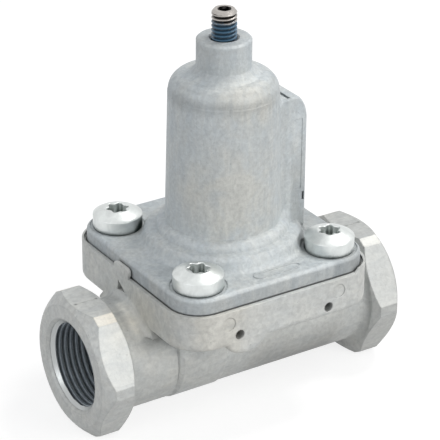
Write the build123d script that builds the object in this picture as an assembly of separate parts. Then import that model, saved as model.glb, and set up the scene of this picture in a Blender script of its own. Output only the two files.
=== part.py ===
from build123d import *
import os
from math import cos, radians, sin

os.makedirs("parts", exist_ok=True)

# Overflow valve for a compressed-air line. Both ports lie on one axis along X, the inlet at -X
# and the outlet at +X. The adjusting axis is Z, upwards. The origin is on the plane of the lower
# hexagon flats, under the middle of the valve. All sizes are in millimetres.

# Ports and hexagons
HEX_AF = 32.0
HEX_CORNER_AF = 35.42
HEX_WIDTH = 8.5
HEX_BACK_CHAMFER_R = 15.7
HEX_BACK_CHAMFER_X = 1.75
HEX_FACE_CHAMFER_R = 14.9
HEX_FACE_CHAMFER_X = 2.7
LENGTH = 84.4
PORT_R = 11.0
PORT_MOUTH_R = 11.7
PORT_THREAD_LENGTH = 15.7
PORT_Z = HEX_AF / 2
FACE_X = LENGTH / 2
HEX_BACK_X = FACE_X - HEX_WIDTH

# Housing
TUBE_R = 13.5
BELLY_R = 15.0
BELLY_X = 20.5
BELLY_END_X = -7.2
COLLAR_REACH = 1.6
COLLAR_LOW_Z = 24.6
HOUSING_HALF = 27.0
HOUSING_CORNER_R = 8.9
HOUSING_LOW_Z = 26.0
HOUSING_LOW_FILLET = 1.4
HEX_ROOT_FILLET = 1.5
LOBE_FILLET = 1.2
LOBE_ROOT_FILLET = 1.0
JOINT_Z = 35.2
RIM_HEIGHT = 0.8
RIM_GAP = 0.35
RIM_INNER_CORNER_R = 6.9
RIM_RAMP_X = 20.0
RIM_RAMP = 1.3
TAB_TOP_Z = 37.7
TAB_Y0 = -1.2
TAB_Y1 = 5.2
PIN_HOLE_R = 1.2
PIN_HOLE_X = 12.4
PIN_HOLE_Z = 28.6
PIN_HOLE_DEPTH = 5.0
LOBE_R = 6.7
LOBE_X = -10.2
LOBE_Z = 29.6
EJECTOR_R = 1.7
EJECTOR_X = 15.3
EJECTOR_Z = 32.0
EJECTOR_DEPTH = 0.25

# Passages in the housing
SEAT_R = 5.5
SEAT_WALL_R = 7.6
SEAT_Z = JOINT_Z - 1.4
CHAMBER_R = 17.5
CHAMBER_FLOOR_Z = 29.4
BEAD_R = 21.5
BEAD_DEPTH = 1.6
PILOT_R = 9.5
RISER_R = 4.3
RISER_X = -12.4
CHECK_SEAT_X = 8.5
CHECK_CHAMBER_R = 8.5
CHECK_BORE_R = 9.0

# Bonnet
FLANGE_HALF = 25.7
FLANGE_CORNER_R = 7.45
FLANGE_THICKNESS = 3.9
FLANGE_TOP_FILLET = 0.9
SPOT_Z = JOINT_Z + 3.7
SPOT_R = 6.7
FOOT_R = 18.6
FOOT_TOP_Z = 42.6
DOME_FOOT_R = 13.75
DOME_TOP_R = 12.95
SHOULDER_Z = 77.2
SHOULDER_R = 4.2
SHOULDER_LEDGE = 0.12
NECK_BASE_Z = 82.0
NECK_R = 6.5
NECK_EDGE = 0.45
NECK_TOP_Z = 90.1
CAVITY_R = 10.4
CAVITY_TOP_Z = 78.6
RECESS_R = 16.6
RECESS_TOP_Z = JOINT_Z + 5.4
LUG_HALF = 7.6
LUG_X = 18.6
LUG_TOP_X = 16.5
LUG_TOP_Z = 74.0
LUG_BEND_Z = 68.6
SLOT_X = 13.9
SLOT_WIDTH = 0.8
SLOT_HALF = 6.5
SLOT_LOW_Z = 50.0
NOTCH_LOW_Z = 47.3
NOTCH_HIGH_Z = 49.4
NOTCH_WIDTH = 0.6
NOTCH_WALL = 0.5
NOTCH_DEPTH = 1.2
VENT_R = 0.9
VENT_Z = 62.0
LUG_ROOT_FILLET = 2.5
LUG_TOP_FILLET = 1.0
PANEL_X = 14.8
PANEL_DEPTH = 0.12
FOOT_ROOT_FILLET = 1.5
OUTLINE_LENGTH = 12.8
OUTLINE_WIDTH = 2.6
OUTLINE_LINE = 0.35
OUTLINE_HEIGHT = 0.2
OUTLINE_X = 1.1
OUTLINE_Y = -21.9

# Cover screws, M6 with a pan head
SCREW_PITCH = 36.5
SCREW_R = 2.95
SCREW_HOLE_R = 3.0
SCREW_CLEARANCE_R = 3.3
SCREW_LENGTH = 12.0
HEAD_R = 6.0
HEAD_SIDE = 3.1
HEAD_HEIGHT = 4.85

# Adjusting screw, M6 with a hexagon socket, and the set spring under it
ADJUST_R = 2.95
ADJUST_HOLE_R = 3.0
ADJUST_TOP_Z = 97.0
ADJUST_LENGTH = 30.0
SOCKET_AF = 3.0
SOCKET_DEPTH = 3.5
SPRING_MEAN_R = 7.9
SPRING_WIRE_R = 1.5
SPRING_TURNS = 6
PISTON_R = 15.8
PISTON_THICKNESS = 2.8
PLATE_R = 9.7
PLATE_THICKNESS = 2.4

# Check valve in the outlet passage
DISC_R = 7.0
DISC_THICKNESS = 1.6
DISC_SEAL_THICKNESS = 1.2
STEM_R = 1.5
STEM_END_X = 20.6
GUIDE_X = 18.2
GUIDE_THICKNESS = 2.4
GUIDE_HUB_R = 4.3
GUIDE_CLEARANCE = 0.06
RING_THICKNESS = 1.0
RING_GROOVE_R = 9.7
CHECK_SPRING_MEAN_R = 3.6
CHECK_SPRING_WIRE_R = 0.35
CHECK_SPRING_TURNS = 5

PORT_AXIS = Axis((0, 0, PORT_Z), (1, 0, 0))
CORNERS = [(sx * SCREW_PITCH / 2, sy * SCREW_PITCH / 2) for sx in (-1, 1) for sy in (-1, 1)]
BOTTOM = (Align.CENTER, Align.CENTER, Align.MIN)


def post(radius, z0, z1, x=0.0, y=0.0):
    """Upright cylinder between two heights."""
    return Pos(x, y, z0) * Cylinder(radius, z1 - z0, align=BOTTOM)


def bar(radius, x0, x1, z=PORT_Z):
    """Cylinder along X between two stations."""
    return Pos(x0, 0, z) * Rot(0, 90, 0) * Cylinder(radius, x1 - x0, align=BOTTOM)


def block(x0, x1, y0, y1, z0, z1):
    """Box between two corners."""
    return Pos((x0 + x1) / 2, (y0 + y1) / 2, (z0 + z1) / 2) * Box(x1 - x0, y1 - y0, z1 - z0)


def turned_upright(points):
    """Solid of revolution about Z from (radius, z) points."""
    return revolve(make_face(Polyline(*[(r, 0, z) for r, z in points], close=True)), Axis.Z)


def turned_along(points):
    """Solid of revolution about the port axis from (x, radius) points."""
    return revolve(make_face(Polyline(*[(x, 0, PORT_Z + r) for x, r in points], close=True)), PORT_AXIS)


def circles_of_radius(solid, radius):
    """Full and part circles of one radius among a solid's edges."""
    circles = solid.edges().filter_by(GeomType.CIRCLE)
    return circles.filter_by(lambda edge: abs(edge.radius - radius) < 0.01)


def rounded_plate(half, corner_r, z0, z1):
    """Square plate with round corners."""
    return extrude(Pos(0, 0, z0) * RectangleRounded(2 * half, 2 * half, corner_r), z1 - z0)


def hexagon_end():
    """Hexagon of the +X port, its corners cut and both rims chamfered."""
    plane = Plane((HEX_BACK_X, 0, PORT_Z), x_dir=(0, 1, 0), z_dir=(1, 0, 0))
    flats = RegularPolygon(HEX_AF / 2, 6, major_radius=False)
    corners = RegularPolygon(HEX_CORNER_AF / 2, 6, major_radius=False, rotation=30)
    prism = extrude(plane * (flats & corners), HEX_WIDTH)
    full_r = HEX_AF / 2 + 2.4
    envelope = turned_along([
        (HEX_BACK_X, 0),
        (HEX_BACK_X, HEX_BACK_CHAMFER_R),
        (HEX_BACK_X + HEX_BACK_CHAMFER_X, full_r),
        (FACE_X - HEX_FACE_CHAMFER_X, full_r),
        (FACE_X, HEX_FACE_CHAMFER_R),
        (FACE_X, 0),
    ])
    return prism & envelope


def housing_bowl():
    """Square upper housing with the tapered underside that carries it on the tube."""
    upper = rounded_plate(HOUSING_HALF, HOUSING_CORNER_R, HOUSING_LOW_Z, JOINT_Z)
    upper = fillet(upper.edges().group_by(Axis.Z)[0], HOUSING_LOW_FILLET)
    top_half = HOUSING_HALF - 2.0
    top = Pos(0, 0, HOUSING_LOW_Z + 0.5) * RectangleRounded(2 * top_half, 2 * top_half, 7)
    low = Pos(0, 0, PORT_Z + 3) * RectangleRounded(2 * BELLY_X, 2 * TUBE_R - 2.2, 4)
    return upper + loft([low, top])


def rim():
    """Low wall round the bonnet flange, open along the front, with the locating tab on it."""
    inner_half = FLANGE_HALF + RIM_GAP
    low, high = JOINT_Z - 1, JOINT_Z + RIM_HEIGHT
    wall = rounded_plate(HOUSING_HALF, HOUSING_CORNER_R, low, high)
    wall -= rounded_plate(inner_half, RIM_INNER_CORNER_R, JOINT_Z - 2, high + 1)
    front = Polyline((-30, 0, JOINT_Z), (RIM_RAMP_X, 0, JOINT_Z), (RIM_RAMP_X + RIM_RAMP, 0, high),
                     (RIM_RAMP_X + RIM_RAMP, 0, high + 1), (-30, 0, high + 1), close=True)
    wall -= Pos(0, -SCREW_PITCH / 2, 0) * extrude(make_face(front), 20, dir=(0, -1, 0))
    wall -= block(-30, 0, -30, TAB_Y0, JOINT_Z, high + 1)
    tab = block(-HOUSING_HALF, -inner_half, TAB_Y0, TAB_Y1, JOINT_Z - 1, TAB_TOP_Z)
    tab = fillet(tab.edges().filter_by(Axis.X).group_by(Axis.Z)[-1], 1.0)
    return wall + tab


def tab_pocket():
    """Three-cornered pocket under the tab, above the inlet tube."""
    plane = Plane((-HOUSING_HALF - 1, 0, 0), x_dir=(0, 1, 0), z_dir=(1, 0, 0))
    outline = make_face(Polyline((3.9, 29.0), (3.3, 33.3), (-0.6, 30.6), (-0.6, 29.0), close=True))
    return extrude(plane * outline, 2.6)


def collar():
    """Concave blends round the top of the tube, on both side walls of the housing."""
    wall_x = HOUSING_HALF
    end = (wall_x + COLLAR_REACH, TUBE_R)
    lean = COLLAR_REACH * (1 - cos(radians(45)))
    start = (wall_x, TUBE_R + COLLAR_REACH)
    hollow = ThreePointArc(start, (wall_x + lean, TUBE_R + lean), end)
    inner = Polyline(end, (end[0], TUBE_R - 1), (wall_x - COLLAR_REACH, TUBE_R - 1),
                     (wall_x - COLLAR_REACH, start[1]), start)
    ring = revolve(Plane.XZ * Pos(0, PORT_Z) * make_face(hollow + inner), PORT_AXIS)
    ring += Rot(0, 0, 180) * ring
    return ring & block(-40, 40, -20, 20, COLLAR_LOW_Z, JOINT_Z)


def lobe():
    """Round lobe on the front wall, behind the left pin hole."""
    length = HOUSING_HALF - TUBE_R
    solid = Pos(LOBE_X, -HOUSING_HALF, LOBE_Z) * Rot(-90, 0, 0) * Cylinder(LOBE_R, length, align=BOTTOM)
    solid = fillet(solid.edges().group_by(Axis.Y)[0], LOBE_FILLET)
    return solid - block(-30, 30, -30, 0, HOUSING_LOW_Z + 3, JOINT_Z + 10)


def is_lobe_root(edge):
    """Whether an edge is the crease between the lobe's side and the underside of the housing."""
    middle = edge @ 0.5
    from_axis = ((middle.X - LOBE_X) ** 2 + (middle.Z - LOBE_Z) ** 2) ** 0.5
    on_side = abs(from_axis - LOBE_R) < 0.05 and edge.length > 1.0
    return on_side and -HOUSING_HALF + LOBE_FILLET + 0.5 < middle.Y < -TUBE_R and middle.Z < HOUSING_LOW_Z


def housing_outside():
    """Outer form of the die-cast housing."""
    body = bar(TUBE_R, -HEX_BACK_X - 1, HEX_BACK_X + 1)
    for turn in (0, 180):
        body += Rot(0, 0, turn) * hexagon_end()
    body = fillet(circles_of_radius(body, TUBE_R), HEX_ROOT_FILLET)
    belly_z = PORT_Z - TUBE_R + BELLY_R
    belly = bar(BELLY_R, -BELLY_X, BELLY_END_X, belly_z)
    body += chamfer(belly.edges().filter_by(GeomType.CIRCLE), 0.8)
    body += housing_bowl()
    body += lobe()
    body = fillet([edge for edge in body.edges() if is_lobe_root(edge)], LOBE_ROOT_FILLET)
    body += rim()
    return body - tab_pocket() + collar()


def diaphragm_chamber():
    """Round chamber under the diaphragm, with the seat nozzle standing in it."""
    chamber = post(BEAD_R, JOINT_Z - BEAD_DEPTH, JOINT_Z + 1)
    chamber += post(CHAMBER_R, CHAMBER_FLOOR_Z, JOINT_Z)
    nozzle = post(SEAT_WALL_R, CHAMBER_FLOOR_Z - 1, SEAT_Z)
    return chamber - nozzle


def air_passages():
    """Inlet bore and riser to the chamber, seat bore, and the check valve's bore to the outlet."""
    end_x = FACE_X - PORT_THREAD_LENGTH
    inlet = bar(PILOT_R, -end_x - 0.1, -17)
    inlet += bar(RISER_R, -18, RISER_X)
    inlet += post(RISER_R, PORT_Z, CHAMBER_FLOOR_Z + 0.5, RISER_X)
    outlet = post(SEAT_R, PORT_Z, SEAT_Z + 0.5)
    outlet += bar(SEAT_R, 0, CHECK_SEAT_X + 0.1)
    outlet += bar(CHECK_CHAMBER_R, CHECK_SEAT_X, GUIDE_X + 0.1)
    outlet += bar(CHECK_BORE_R, GUIDE_X, end_x + 0.1)
    groove_x = GUIDE_X + GUIDE_THICKNESS
    outlet += bar(RING_GROOVE_R, groove_x, groove_x + RING_THICKNESS + 0.1)
    return inlet + outlet


def port_bore():
    """Threaded bore of the +X port, as its wall at the thread's major radius, with its mouth."""
    inner_x = FACE_X - PORT_THREAD_LENGTH
    mouth_x = FACE_X - (PORT_MOUTH_R - PORT_R)
    return turned_along([
        (inner_x, 0),
        (inner_x, PORT_R),
        (mouth_x, PORT_R),
        (FACE_X, PORT_MOUTH_R),
        (FACE_X + 1, PORT_MOUTH_R),
        (FACE_X + 1, 0),
    ])


def valve_body():
    """Die-cast housing with both ports, the chamber, the seat and the blind holes."""
    body = housing_outside()
    body -= diaphragm_chamber()
    body -= air_passages()
    for turn in (0, 180):
        body -= Rot(0, 0, turn) * port_bore()
    for x, y in CORNERS:
        body -= post(SCREW_HOLE_R, SPOT_Z - SCREW_LENGTH - 0.6, JOINT_Z + 5, x, y)
    front = -HOUSING_HALF
    for side in (-1, 1):
        hole = Pos(side * PIN_HOLE_X, front - 1, PIN_HOLE_Z) * Rot(-90, 0, 0)
        body -= hole * Cylinder(PIN_HOLE_R, PIN_HOLE_DEPTH + 1, align=BOTTOM)
        mark = Pos(side * EJECTOR_X, front - 1, EJECTOR_Z) * Rot(-90, 0, 0)
        body -= mark * Cylinder(EJECTOR_R, EJECTOR_DEPTH + 1, align=BOTTOM)
    return body


def dome_profile():
    """Outline of the dome, the neck and the foot from the axis outwards, as (radius, z) edges."""
    top_slope = 0.33
    cone_r = DOME_TOP_R - SHOULDER_R
    cone_z = NECK_BASE_Z - (cone_r - NECK_R) * top_slope
    start = (0, JOINT_Z + 1)
    edges = Polyline(start, (0, NECK_TOP_Z), (NECK_R - NECK_EDGE, NECK_TOP_Z),
                     (NECK_R, NECK_TOP_Z - NECK_EDGE), (NECK_R, NECK_BASE_Z + 1.0),
                     (NECK_R + 1.1, NECK_BASE_Z - 0.2), (cone_r, cone_z))
    shoulder = ThreePointArc(
        (cone_r, cone_z),
        (cone_r + SHOULDER_R * sin(radians(48)), SHOULDER_Z + SHOULDER_R * cos(radians(48))),
        (DOME_TOP_R, SHOULDER_Z),
    )
    wall = Polyline((DOME_TOP_R, SHOULDER_Z), (DOME_TOP_R + SHOULDER_LEDGE, SHOULDER_Z - 0.2),
                    (DOME_FOOT_R, FOOT_TOP_Z + 2.2))
    root = RadiusArc((DOME_FOOT_R, FOOT_TOP_Z + 2.2), (DOME_FOOT_R + 2.2, FOOT_TOP_Z), 2.3)
    step = Polyline((DOME_FOOT_R + 2.2, FOOT_TOP_Z), (FOOT_R - 0.8, FOOT_TOP_Z - 0.3),
                    (FOOT_R, FOOT_TOP_Z - 1.1), (FOOT_R + 1.0, JOINT_Z + FLANGE_THICKNESS),
                    (FOOT_R + 1.0, JOINT_Z + 1), start)
    return Plane.XZ * make_face(edges + shoulder + wall + root + step)


def lug():
    """Upright lug on the +X side of the dome, leaning in at its top."""
    outline = Polyline((0, FOOT_TOP_Z - 2), (LUG_X, FOOT_TOP_Z - 2), (LUG_X, LUG_BEND_Z))
    bend = ThreePointArc((LUG_X, LUG_BEND_Z), (LUG_X - 0.55, LUG_BEND_Z + 2.9), (LUG_TOP_X, LUG_TOP_Z))
    closing = Polyline((LUG_TOP_X, LUG_TOP_Z), (0, LUG_TOP_Z), (0, FOOT_TOP_Z - 2))
    face = Plane.XZ * make_face(outline + bend + closing)
    solid = extrude(face, LUG_HALF, both=True)
    return fillet(solid.edges().filter_by(Axis.Z).group_by(Axis.X)[-1], 0.6)


def is_lug_root(edge):
    """Whether an edge is the crease between a side of the lug and the dome."""
    middle = edge @ 0.5
    on_side = abs(abs(middle.Y) - LUG_HALF) < 0.05 and edge.length > 3.0
    return on_side and middle.X < DOME_FOOT_R + 0.5 and FOOT_TOP_Z + 0.5 < middle.Z < LUG_BEND_Z


def is_lug_top(edge):
    """Whether an edge is the crease between the top of the lug and the dome."""
    on_top = abs(edge.center().Z - LUG_TOP_Z) < 0.02
    return on_top and edge.geom_type == GeomType.CIRCLE and edge.center().X > 8


def side_panel():
    """Shallow panel in the lug's front side."""
    front = -LUG_HALF
    return block(PANEL_X, LUG_X - 1.4, front - 1, front + PANEL_DEPTH, NOTCH_HIGH_Z + 1, LUG_BEND_Z)


def flange_outline():
    """Plain raised outline on the front of the flange."""
    top = Pos(OUTLINE_X, OUTLINE_Y, JOINT_Z + FLANGE_THICKNESS - 0.5)
    outside = SlotOverall(OUTLINE_LENGTH, OUTLINE_WIDTH)
    inside = SlotOverall(OUTLINE_LENGTH - 2 * OUTLINE_LINE, OUTLINE_WIDTH - 2 * OUTLINE_LINE)
    return extrude(top * (outside - inside), 0.5 + OUTLINE_HEIGHT)


def lug_openings():
    """Breather slot down through the lug, the notch in its front and the bore to the spring chamber."""
    slot = block(SLOT_X - SLOT_WIDTH / 2, SLOT_X + SLOT_WIDTH / 2, -SLOT_HALF, SLOT_HALF,
                 SLOT_LOW_Z, LUG_TOP_Z + 1)
    outer_x = LUG_X - NOTCH_WALL
    notch = block(outer_x - NOTCH_WIDTH, outer_x, -LUG_HALF - 1, NOTCH_DEPTH - LUG_HALF,
                  NOTCH_LOW_Z, NOTCH_HIGH_Z)
    return slot + notch + bar(VENT_R, CAVITY_R - 1, SLOT_X, VENT_Z)


def bonnet():
    """Die-cast spring bonnet: flange, foot, dome, lug and threaded neck, hollow for the spring."""
    flange = rounded_plate(FLANGE_HALF, FLANGE_CORNER_R, JOINT_Z, JOINT_Z + FLANGE_THICKNESS)
    flange = fillet(flange.edges().group_by(Axis.Z)[-1], FLANGE_TOP_FILLET)
    solid = flange + revolve(dome_profile(), Axis.Z)
    solid = fillet(circles_of_radius(solid, FOOT_R + 1.0), FOOT_ROOT_FILLET)
    solid += lug()
    solid = fillet([edge for edge in solid.edges() if is_lug_root(edge)], LUG_ROOT_FILLET)
    solid = fillet([edge for edge in solid.edges() if is_lug_top(edge)], LUG_TOP_FILLET)
    solid += flange_outline()
    for x, y in CORNERS:
        solid -= post(SPOT_R, SPOT_Z, SPOT_Z + 12, x, y)
        solid -= post(SCREW_CLEARANCE_R, JOINT_Z - 1, SPOT_Z + 1, x, y)
    solid -= turned_upright([
        (0, JOINT_Z - 1),
        (RECESS_R, JOINT_Z - 1),
        (RECESS_R, RECESS_TOP_Z),
        (CAVITY_R + 0.6, RECESS_TOP_Z),
        (CAVITY_R, RECESS_TOP_Z + 0.6),
        (CAVITY_R, CAVITY_TOP_Z - 3),
        (CAVITY_R - 3, CAVITY_TOP_Z),
        (0, CAVITY_TOP_Z),
    ])
    solid -= turned_upright([
        (0, CAVITY_TOP_Z - 1),
        (ADJUST_HOLE_R, CAVITY_TOP_Z - 1),
        (ADJUST_HOLE_R, NECK_TOP_Z - 0.6),
        (ADJUST_HOLE_R + 0.6, NECK_TOP_Z),
        (ADJUST_HOLE_R + 0.6, NECK_TOP_Z + 1),
        (0, NECK_TOP_Z + 1),
    ])
    return solid - lug_openings() - side_panel()


def cover_screws():
    """Four pan-head screws that hold the bonnet on the housing."""
    profile = [
        (0, SPOT_Z - SCREW_LENGTH),
        (SCREW_R - 0.8, SPOT_Z - SCREW_LENGTH),
        (SCREW_R, SPOT_Z - SCREW_LENGTH + 0.8),
        (SCREW_R, SPOT_Z),
        (HEAD_R, SPOT_Z),
        (HEAD_R, SPOT_Z + HEAD_SIDE),
        (HEAD_R - 0.3, SPOT_Z + HEAD_SIDE + 0.4),
        (HEAD_R - 1.0, SPOT_Z + HEAD_HEIGHT - 0.8),
        (HEAD_R - 2.0, SPOT_Z + HEAD_HEIGHT - 0.35),
        (HEAD_R - 3.0, SPOT_Z + HEAD_HEIGHT - 0.1),
        (0, SPOT_Z + HEAD_HEIGHT),
    ]
    screw = turned_upright(profile)
    return Compound(children=[Pos(x, y, 0) * screw for x, y in CORNERS])


def diaphragm():
    """Rubber diaphragm with its bead in the housing's groove; it closes the seat."""
    low = JOINT_Z - BEAD_DEPTH
    return turned_upright([
        (0, SEAT_Z),
        (CHAMBER_R + 0.4, SEAT_Z),
        (CHAMBER_R + 0.8, low),
        (BEAD_R - 0.1, low),
        (BEAD_R - 0.1, JOINT_Z),
        (0, JOINT_Z),
    ])


def pressure_piston():
    """Dished plate that presses the diaphragm on the seat and centres the set spring."""
    top = JOINT_Z + PISTON_THICKNESS
    hub_r = SPRING_MEAN_R - SPRING_WIRE_R - 0.3
    return turned_upright([
        (0, JOINT_Z),
        (PISTON_R - 0.8, JOINT_Z),
        (PISTON_R, JOINT_Z + 0.8),
        (PISTON_R, top - 0.6),
        (PISTON_R - 0.6, top),
        (hub_r, top),
        (hub_r, top + 1.6),
        (hub_r - 0.6, top + 2.2),
        (2.5, top + 2.2),
        (2.5, top),
        (0, top),
    ])


def coil(mean_r, wire_r, turns, height):
    """Helical spring along Z from z = 0, as its wire swept along the coil."""
    rise = height - 2 * wire_r
    path = Helix(rise / turns, rise, mean_r)
    section = Plane(path @ 0, z_dir=path % 0) * Circle(wire_r)
    return Pos(0, 0, wire_r) * sweep(section, path)


def spring_low_z():
    """Height of the set spring's lower end."""
    return JOINT_Z + PISTON_THICKNESS


def spring_high_z():
    """Height of the set spring's upper end, under the spring plate's flange."""
    return ADJUST_TOP_Z - ADJUST_LENGTH - PLATE_THICKNESS


def set_spring():
    """Set spring between the piston and the spring plate."""
    height = spring_high_z() - spring_low_z()
    return Pos(0, 0, spring_low_z()) * coil(SPRING_MEAN_R, SPRING_WIRE_R, SPRING_TURNS, height)


def spring_plate():
    """Upper spring plate, carried on the tip of the adjusting screw."""
    low = spring_high_z()
    hub_r = SPRING_MEAN_R - SPRING_WIRE_R - 0.3
    return turned_upright([
        (0, low - 2.0),
        (hub_r - 0.6, low - 2.0),
        (hub_r, low - 1.4),
        (hub_r, low),
        (PLATE_R, low),
        (PLATE_R, low + PLATE_THICKNESS - 0.8),
        (PLATE_R - 0.8, low + PLATE_THICKNESS),
        (0, low + PLATE_THICKNESS),
    ])


def adjusting_screw():
    """Threaded pin with a hexagon socket; it sets the load of the spring."""
    low = ADJUST_TOP_Z - ADJUST_LENGTH
    pin = turned_upright([
        (0, low),
        (ADJUST_R - 1.0, low),
        (ADJUST_R, low + 1.0),
        (ADJUST_R, ADJUST_TOP_Z - 0.7),
        (ADJUST_R - 0.7, ADJUST_TOP_Z),
        (0, ADJUST_TOP_Z),
    ])
    mouth = Pos(0, 0, ADJUST_TOP_Z - SOCKET_DEPTH)
    socket = extrude(mouth * RegularPolygon(SOCKET_AF / 2, 6, major_radius=False), SOCKET_DEPTH + 1)
    return pin - socket


def check_disc():
    """Metal disc and stem of the check valve in the outlet passage."""
    back_x = CHECK_SEAT_X + DISC_SEAL_THICKNESS
    return turned_along([
        (back_x, 0),
        (back_x, DISC_R),
        (back_x + DISC_THICKNESS, DISC_R),
        (back_x + DISC_THICKNESS, CHECK_SPRING_MEAN_R - 1.0),
        (back_x + DISC_THICKNESS + 1.0, STEM_R),
        (STEM_END_X, STEM_R),
        (STEM_END_X, 0),
    ])


def check_seal():
    """Rubber facing of the check disc."""
    return bar(DISC_R, CHECK_SEAT_X, CHECK_SEAT_X + DISC_SEAL_THICKNESS)


def check_spring():
    """Light spring that closes the check valve."""
    start = CHECK_SEAT_X + DISC_SEAL_THICKNESS + DISC_THICKNESS
    wire = coil(CHECK_SPRING_MEAN_R, CHECK_SPRING_WIRE_R, CHECK_SPRING_TURNS, GUIDE_X - start)
    return Pos(start, 0, PORT_Z) * Rot(0, 90, 0) * wire


def check_guide():
    """Spoked guide for the check valve's stem, on the shoulder side of the retaining ring."""
    end_x = GUIDE_X + GUIDE_THICKNESS
    outer = bar(CHECK_BORE_R - 0.02, GUIDE_X, end_x) - bar(CHECK_BORE_R - 1.3, GUIDE_X - 1, end_x + 1)
    hub = bar(GUIDE_HUB_R, GUIDE_X, end_x)
    spoke = block(GUIDE_X, end_x, -0.9, 0.9, PORT_Z, PORT_Z + CHECK_BORE_R - 0.6)
    spider = outer + hub
    for turn in (0, 120, 240):
        spider += Pos(0, 0, PORT_Z) * Rot(turn, 0, 0) * Pos(0, 0, -PORT_Z) * spoke
    return spider - bar(STEM_R + GUIDE_CLEARANCE, GUIDE_X - 1, end_x + 1)


def retaining_ring():
    """Open snap ring in its groove behind the guide."""
    x0 = GUIDE_X + GUIDE_THICKNESS
    x1 = x0 + RING_THICKNESS
    ring = bar(RING_GROOVE_R - 0.1, x0, x1) - bar(CHECK_BORE_R - 1.4, x0 - 1, x1 + 1)
    return ring - block(x0 - 1, x1 + 1, -2.5, 2.5, PORT_Z, PORT_Z + 12)


NODES = {
    "valve_body": valve_body,
    "bonnet": bonnet,
    "cover_screws": cover_screws,
    "diaphragm": diaphragm,
    "pressure_piston": pressure_piston,
    "set_spring": set_spring,
    "spring_plate": spring_plate,
    "adjusting_screw": adjusting_screw,
    "check_disc": check_disc,
    "check_seal": check_seal,
    "check_spring": check_spring,
    "check_guide": check_guide,
    "retaining_ring": retaining_ring,
}

for node, make in NODES.items():
    export_step(make(), f"parts/{node}.step")
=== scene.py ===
import math

import bmesh
import bpy
from bpy.props import FloatProperty, FloatVectorProperty, IntProperty, PointerProperty
from mathutils import Matrix, Vector


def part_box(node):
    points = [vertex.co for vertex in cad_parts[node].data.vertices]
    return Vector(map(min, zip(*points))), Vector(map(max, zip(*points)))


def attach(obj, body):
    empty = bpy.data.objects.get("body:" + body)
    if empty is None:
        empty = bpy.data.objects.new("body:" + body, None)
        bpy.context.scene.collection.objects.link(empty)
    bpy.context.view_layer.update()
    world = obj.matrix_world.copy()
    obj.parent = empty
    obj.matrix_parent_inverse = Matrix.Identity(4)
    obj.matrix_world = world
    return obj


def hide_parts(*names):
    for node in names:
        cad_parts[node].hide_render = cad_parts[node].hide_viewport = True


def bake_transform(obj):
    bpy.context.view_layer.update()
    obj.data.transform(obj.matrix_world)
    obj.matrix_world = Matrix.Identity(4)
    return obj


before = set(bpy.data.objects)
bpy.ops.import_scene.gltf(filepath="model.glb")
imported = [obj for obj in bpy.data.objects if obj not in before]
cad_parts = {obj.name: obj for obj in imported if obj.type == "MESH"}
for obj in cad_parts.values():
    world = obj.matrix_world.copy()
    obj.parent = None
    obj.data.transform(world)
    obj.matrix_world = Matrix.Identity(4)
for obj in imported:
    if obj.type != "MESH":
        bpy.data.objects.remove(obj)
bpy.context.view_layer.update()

bl_info = {
    "name": "Overflow valve",
    "version": (1, 0, 0),
    "blender": (4, 5, 0),
    "location": "View3D > Sidebar > Valve",
    "description": "Dresses the packed overflow valve: threads, screws, castings, inner parts and stage",
    "category": "Object",
}

MM = 0.001
FACE_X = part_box("valve_body")[1].x
PORT_Z = (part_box("check_disc")[0].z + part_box("check_disc")[1].z) / 2
HEX_WIDTH = 0.0085
HEX_TOP_Z = 2 * PORT_Z
LAND_REACH = 0.01771
HEAD_HEIGHT = 0.00485
HEAD_RADIUS = 0.006
SEAT_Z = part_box("cover_screws")[1].z - HEAD_HEIGHT
SCREW_PITCH = 2 * (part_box("cover_screws")[1].x - HEAD_RADIUS)
JOINT_Z = 0.0352
FLANGE_SIDE_Z = 0.0384
SHOULDER_Z = 0.0772


def length(name, description, default):
    """A property in metres whose default is given in millimetres."""
    return FloatProperty(name=name, description=description, default=default * MM, min=0.0,
                         precision=5, subtype="DISTANCE", unit="LENGTH")


def colour(name, description, default):
    """A linear colour property."""
    return FloatVectorProperty(name=name, description=description, default=default, size=3,
                               min=0.0, max=1.0, subtype="COLOR")


class ValveSizes(bpy.types.PropertyGroup):
    """Sizes of the pieces that are made here."""
    port_major: length("Port thread major radius", "Root of the port thread, just in the bore wall", 11.02)
    port_minor: length("Port thread minor radius", "Crest of the port thread", 10.19)
    port_pitch: length("Port thread pitch", "Rise of the port thread per turn", 1.5)
    port_length: length("Port thread length", "Threaded depth behind the mouth chamfer", 13.9)
    set_major: length("Adjusting screw radius", "Crest radius of the adjusting screw", 2.97)
    set_minor: length("Adjusting screw root", "Root radius of the adjusting screw", 2.40)
    set_pitch: length("Adjusting screw pitch", "Rise of the adjusting screw per turn", 1.0)
    socket_flats: length("Socket across flats", "Hexagon socket in the adjusting screw", 3.0)
    socket_depth: length("Socket depth", "Depth of the hexagon socket", 3.5)
    recess_radius: length("Recess radius", "Mean radius of the six-lobe recess", 2.34)
    recess_lobe: length("Recess lobe", "How far the lobes of the recess reach in and out", 0.37)
    recess_depth: length("Recess depth", "Depth of the six-lobe recess", 2.6)
    seam_width: length("Parting seam width", "Width of the seam left by the die halves", 0.22)
    thread_rows: IntProperty(name="Rows per pitch", description="Mesh rows in one thread pitch",
                             default=16, min=8, max=32)


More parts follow.
